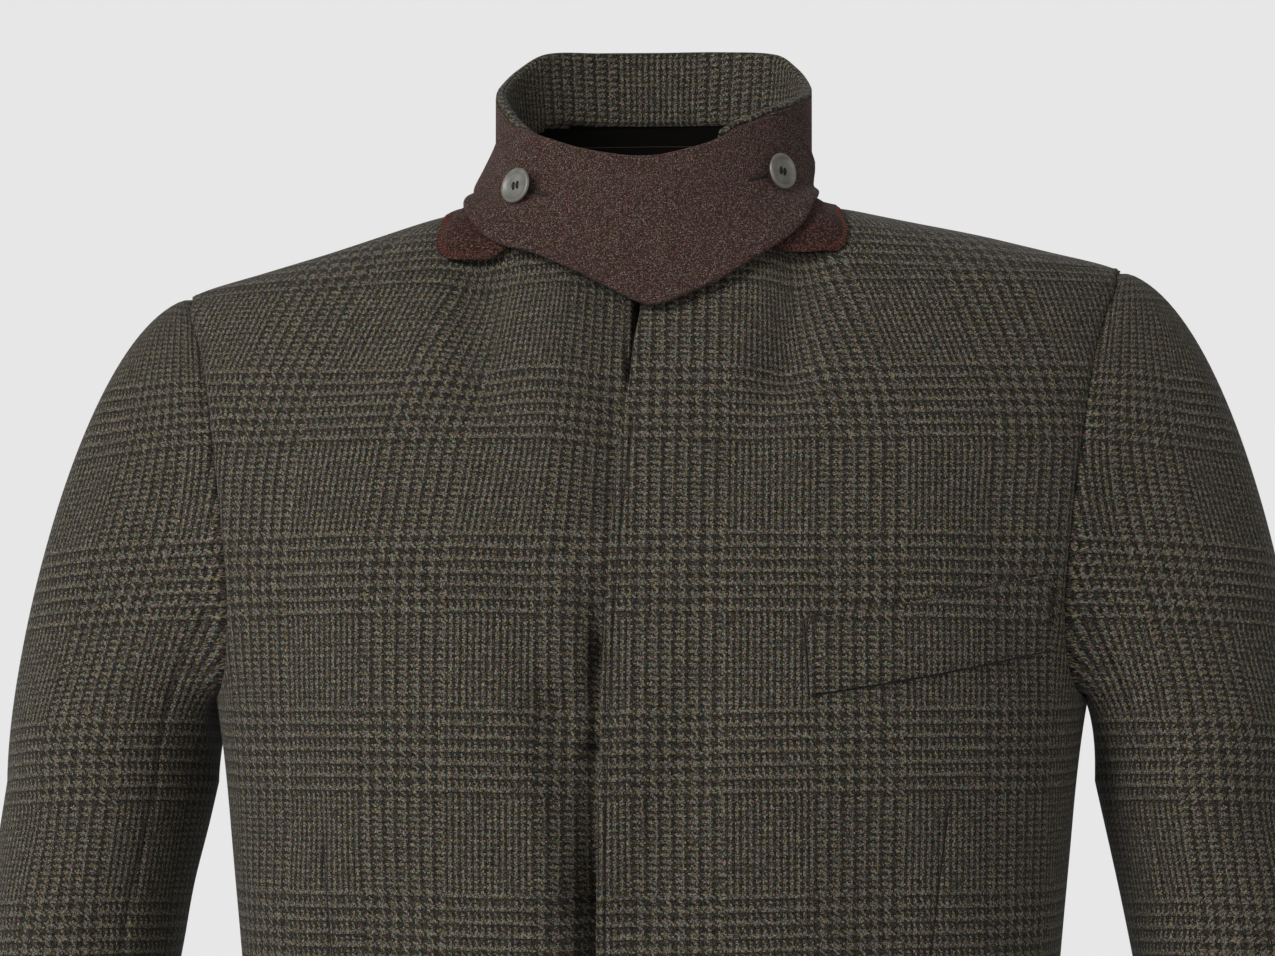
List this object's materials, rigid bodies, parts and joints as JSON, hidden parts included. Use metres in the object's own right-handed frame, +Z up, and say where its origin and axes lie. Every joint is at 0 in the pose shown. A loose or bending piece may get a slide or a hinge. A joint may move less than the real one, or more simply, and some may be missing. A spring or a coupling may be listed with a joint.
{
  "type": "tweed jacket",
  "caption": "Worn, hollow tweed jacket with turned-up collar, buttoned throat latch, set-in sleeves, breast welt and open neck, hem and cuffs.",
  "frame": {"origin": "centre of the neck opening, level with the tops of the shoulders, where the wearer's shoulders and neck hold the jacket", "axes": "+Z up, -Y the way the wearer faces, +X towards the wearer's left arm"},
  "size_m": [0.694, 0.2703, 0.8645],
  "materials": {
    "tweed": "woven wool twill, matt, glen check in charcoal and grey-fawn",
    "melton": "felted wool, matt, maroon-brown with pale fibres",
    "horn": "satin, grey, mottled"
  },
  "bodies": {
    "root": {"front_left": "tweed", "front_right": "tweed", "back_left": "tweed", "back_right": "tweed", "top_sleeve_left": "tweed", "top_sleeve_right": "tweed", "under_sleeve_left": "tweed", "under_sleeve_right": "tweed", "undercollar": "melton", "top_collar": "tweed", "throat_tab": "melton", "chest_welt": "tweed", "throat_button_left": "horn", "throat_button_right": "horn", "front_button_1": "horn", "front_button_2": "horn", "front_button_3": "horn"}
  },
  "joints": []
}
